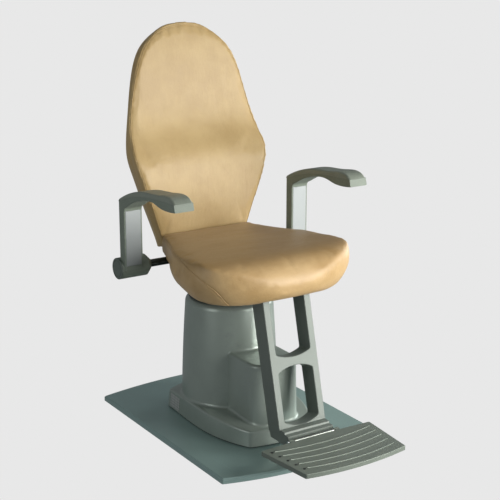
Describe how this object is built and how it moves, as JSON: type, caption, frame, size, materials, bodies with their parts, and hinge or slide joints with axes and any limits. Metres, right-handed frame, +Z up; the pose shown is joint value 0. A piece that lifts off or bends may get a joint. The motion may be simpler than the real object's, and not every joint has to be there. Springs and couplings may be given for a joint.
{
  "type": "powered examination chair",
  "caption": "Powered examination chair: padded seat and tall back on a swivelling lift column, with fold-up arms, and a footrest with a hinged ribbed footplate.",
  "frame": {"origin": "on the swivel axis, on the underside of the floor plate", "axes": "+Z up along the swivel axis, the sitter faces -Y, +X to the sitter's left"},
  "size_m": [0.6452, 0.9675, 1.15],
  "materials": {
    "plate_paint": "satin grey-green paint",
    "cover_moulding": "satin metallic grey-green paint",
    "seal_rubber": "matte black",
    "label": "matte blank label",
    "zinc_steel": "zinc plated",
    "black_plastic": "fine matte grain",
    "machined_steel": "turned",
    "slide_plastic": "smooth",
    "cast_aluminium": "as cast",
    "motor_paint": "satin",
    "chrome_steel": "polished",
    "bronze": "machined",
    "frame_steel": "satin black",
    "plywood": "bare plywood",
    "seat_leather": "satin, soft creases",
    "back_leather": "satin, soft creases",
    "dark_steel": "satin",
    "frame_casting": "satin paint on a casting",
    "bare_aluminium": "satin",
    "tread_casting": "matte paint on a casting",
    "arm_moulding": "fine leather-like grain",
    "arm_face_paint": "satin silver",
    "arm_pad_skin": "fine leather-like grain",
    "barrel_plastic": "satin"
  },
  "bodies": {
    "base": {"floor_plate": "plate_paint", "base_cover": "cover_moulding", "cover_seal": "seal_rubber", "rating_plate": "label", "cover_screws": "zinc_steel", "mains_inlet": "black_plastic", "guide_column": "machined_steel", "column_bolts": "zinc_steel", "guide_bush": "slide_plastic", "drive_gearbox": "cast_aluminium", "lift_motor": "motor_paint", "actuator_body": "machined_steel", "control_box": "black_plastic"},
    "lift": {"lift_tube": "machined_steel", "slide_ring": "slide_plastic", "actuator_rod": "chrome_steel", "swivel_bush": "bronze", "lower_race": "machined_steel", "bearing_balls": "chrome_steel", "ball_cage": "slide_plastic"},
    "seat": {"upper_race": "machined_steel", "swivel_pin": "machined_steel", "seat_carrier": "frame_steel", "column_collar": "black_plastic", "seat_board": "plywood", "board_screws": "zinc_steel", "seat_cushion": "seat_leather", "back_cushion": "back_leather", "back_shell": "back_leather", "back_strap": "frame_steel", "strap_bolts": "zinc_steel", "back_bolts": "zinc_steel", "cross_bar": "dark_steel", "bar_collars": "frame_steel", "footrest_frame": "frame_casting", "footrest_bolts": "zinc_steel", "hinge_tube": "bare_aluminium", "hinge_pins": "chrome_steel"},
    "footplate": {"footplate": "tread_casting", "tread_plugs": "black_plastic"},
    "arm_left": {"arm_frame_left": "arm_moulding", "arm_face_left": "arm_face_paint", "arm_pad_left": "arm_pad_skin", "arm_bush_left": "slide_plastic", "arm_cap_left": "barrel_plastic"},
    "arm_right": {"arm_frame_right": "arm_moulding", "arm_face_right": "arm_face_paint", "arm_pad_right": "arm_pad_skin", "arm_bush_right": "slide_plastic", "arm_cap_right": "barrel_plastic"}
  },
  "joints": [
    {"name": "lift", "type": "slide", "parent": "base", "child": "lift", "axis": [0, 0, 1], "range_m": [0, 0.2]},
    {"name": "swivel", "type": "hinge", "parent": "lift", "child": "seat", "pos_m": [0, 0, 0.395], "axis": [0, 0, 1], "continuous": true},
    {"name": "arm_left_fold", "type": "hinge", "parent": "seat", "child": "arm_left", "pos_m": [-0.285, 0.083, 0.485], "axis": [-1, 0, 0], "range_deg": [0, 90]},
    {"name": "arm_right_fold", "type": "hinge", "parent": "seat", "child": "arm_right", "pos_m": [0.285, 0.083, 0.485], "axis": [-1, 0, 0], "range_deg": [0, 90]},
    {"name": "footplate_fold", "type": "hinge", "parent": "seat", "child": "footplate", "pos_m": [0, -0.43, 0.084], "axis": [-1, 0, 0], "range_deg": [0, 90]}
  ]
}
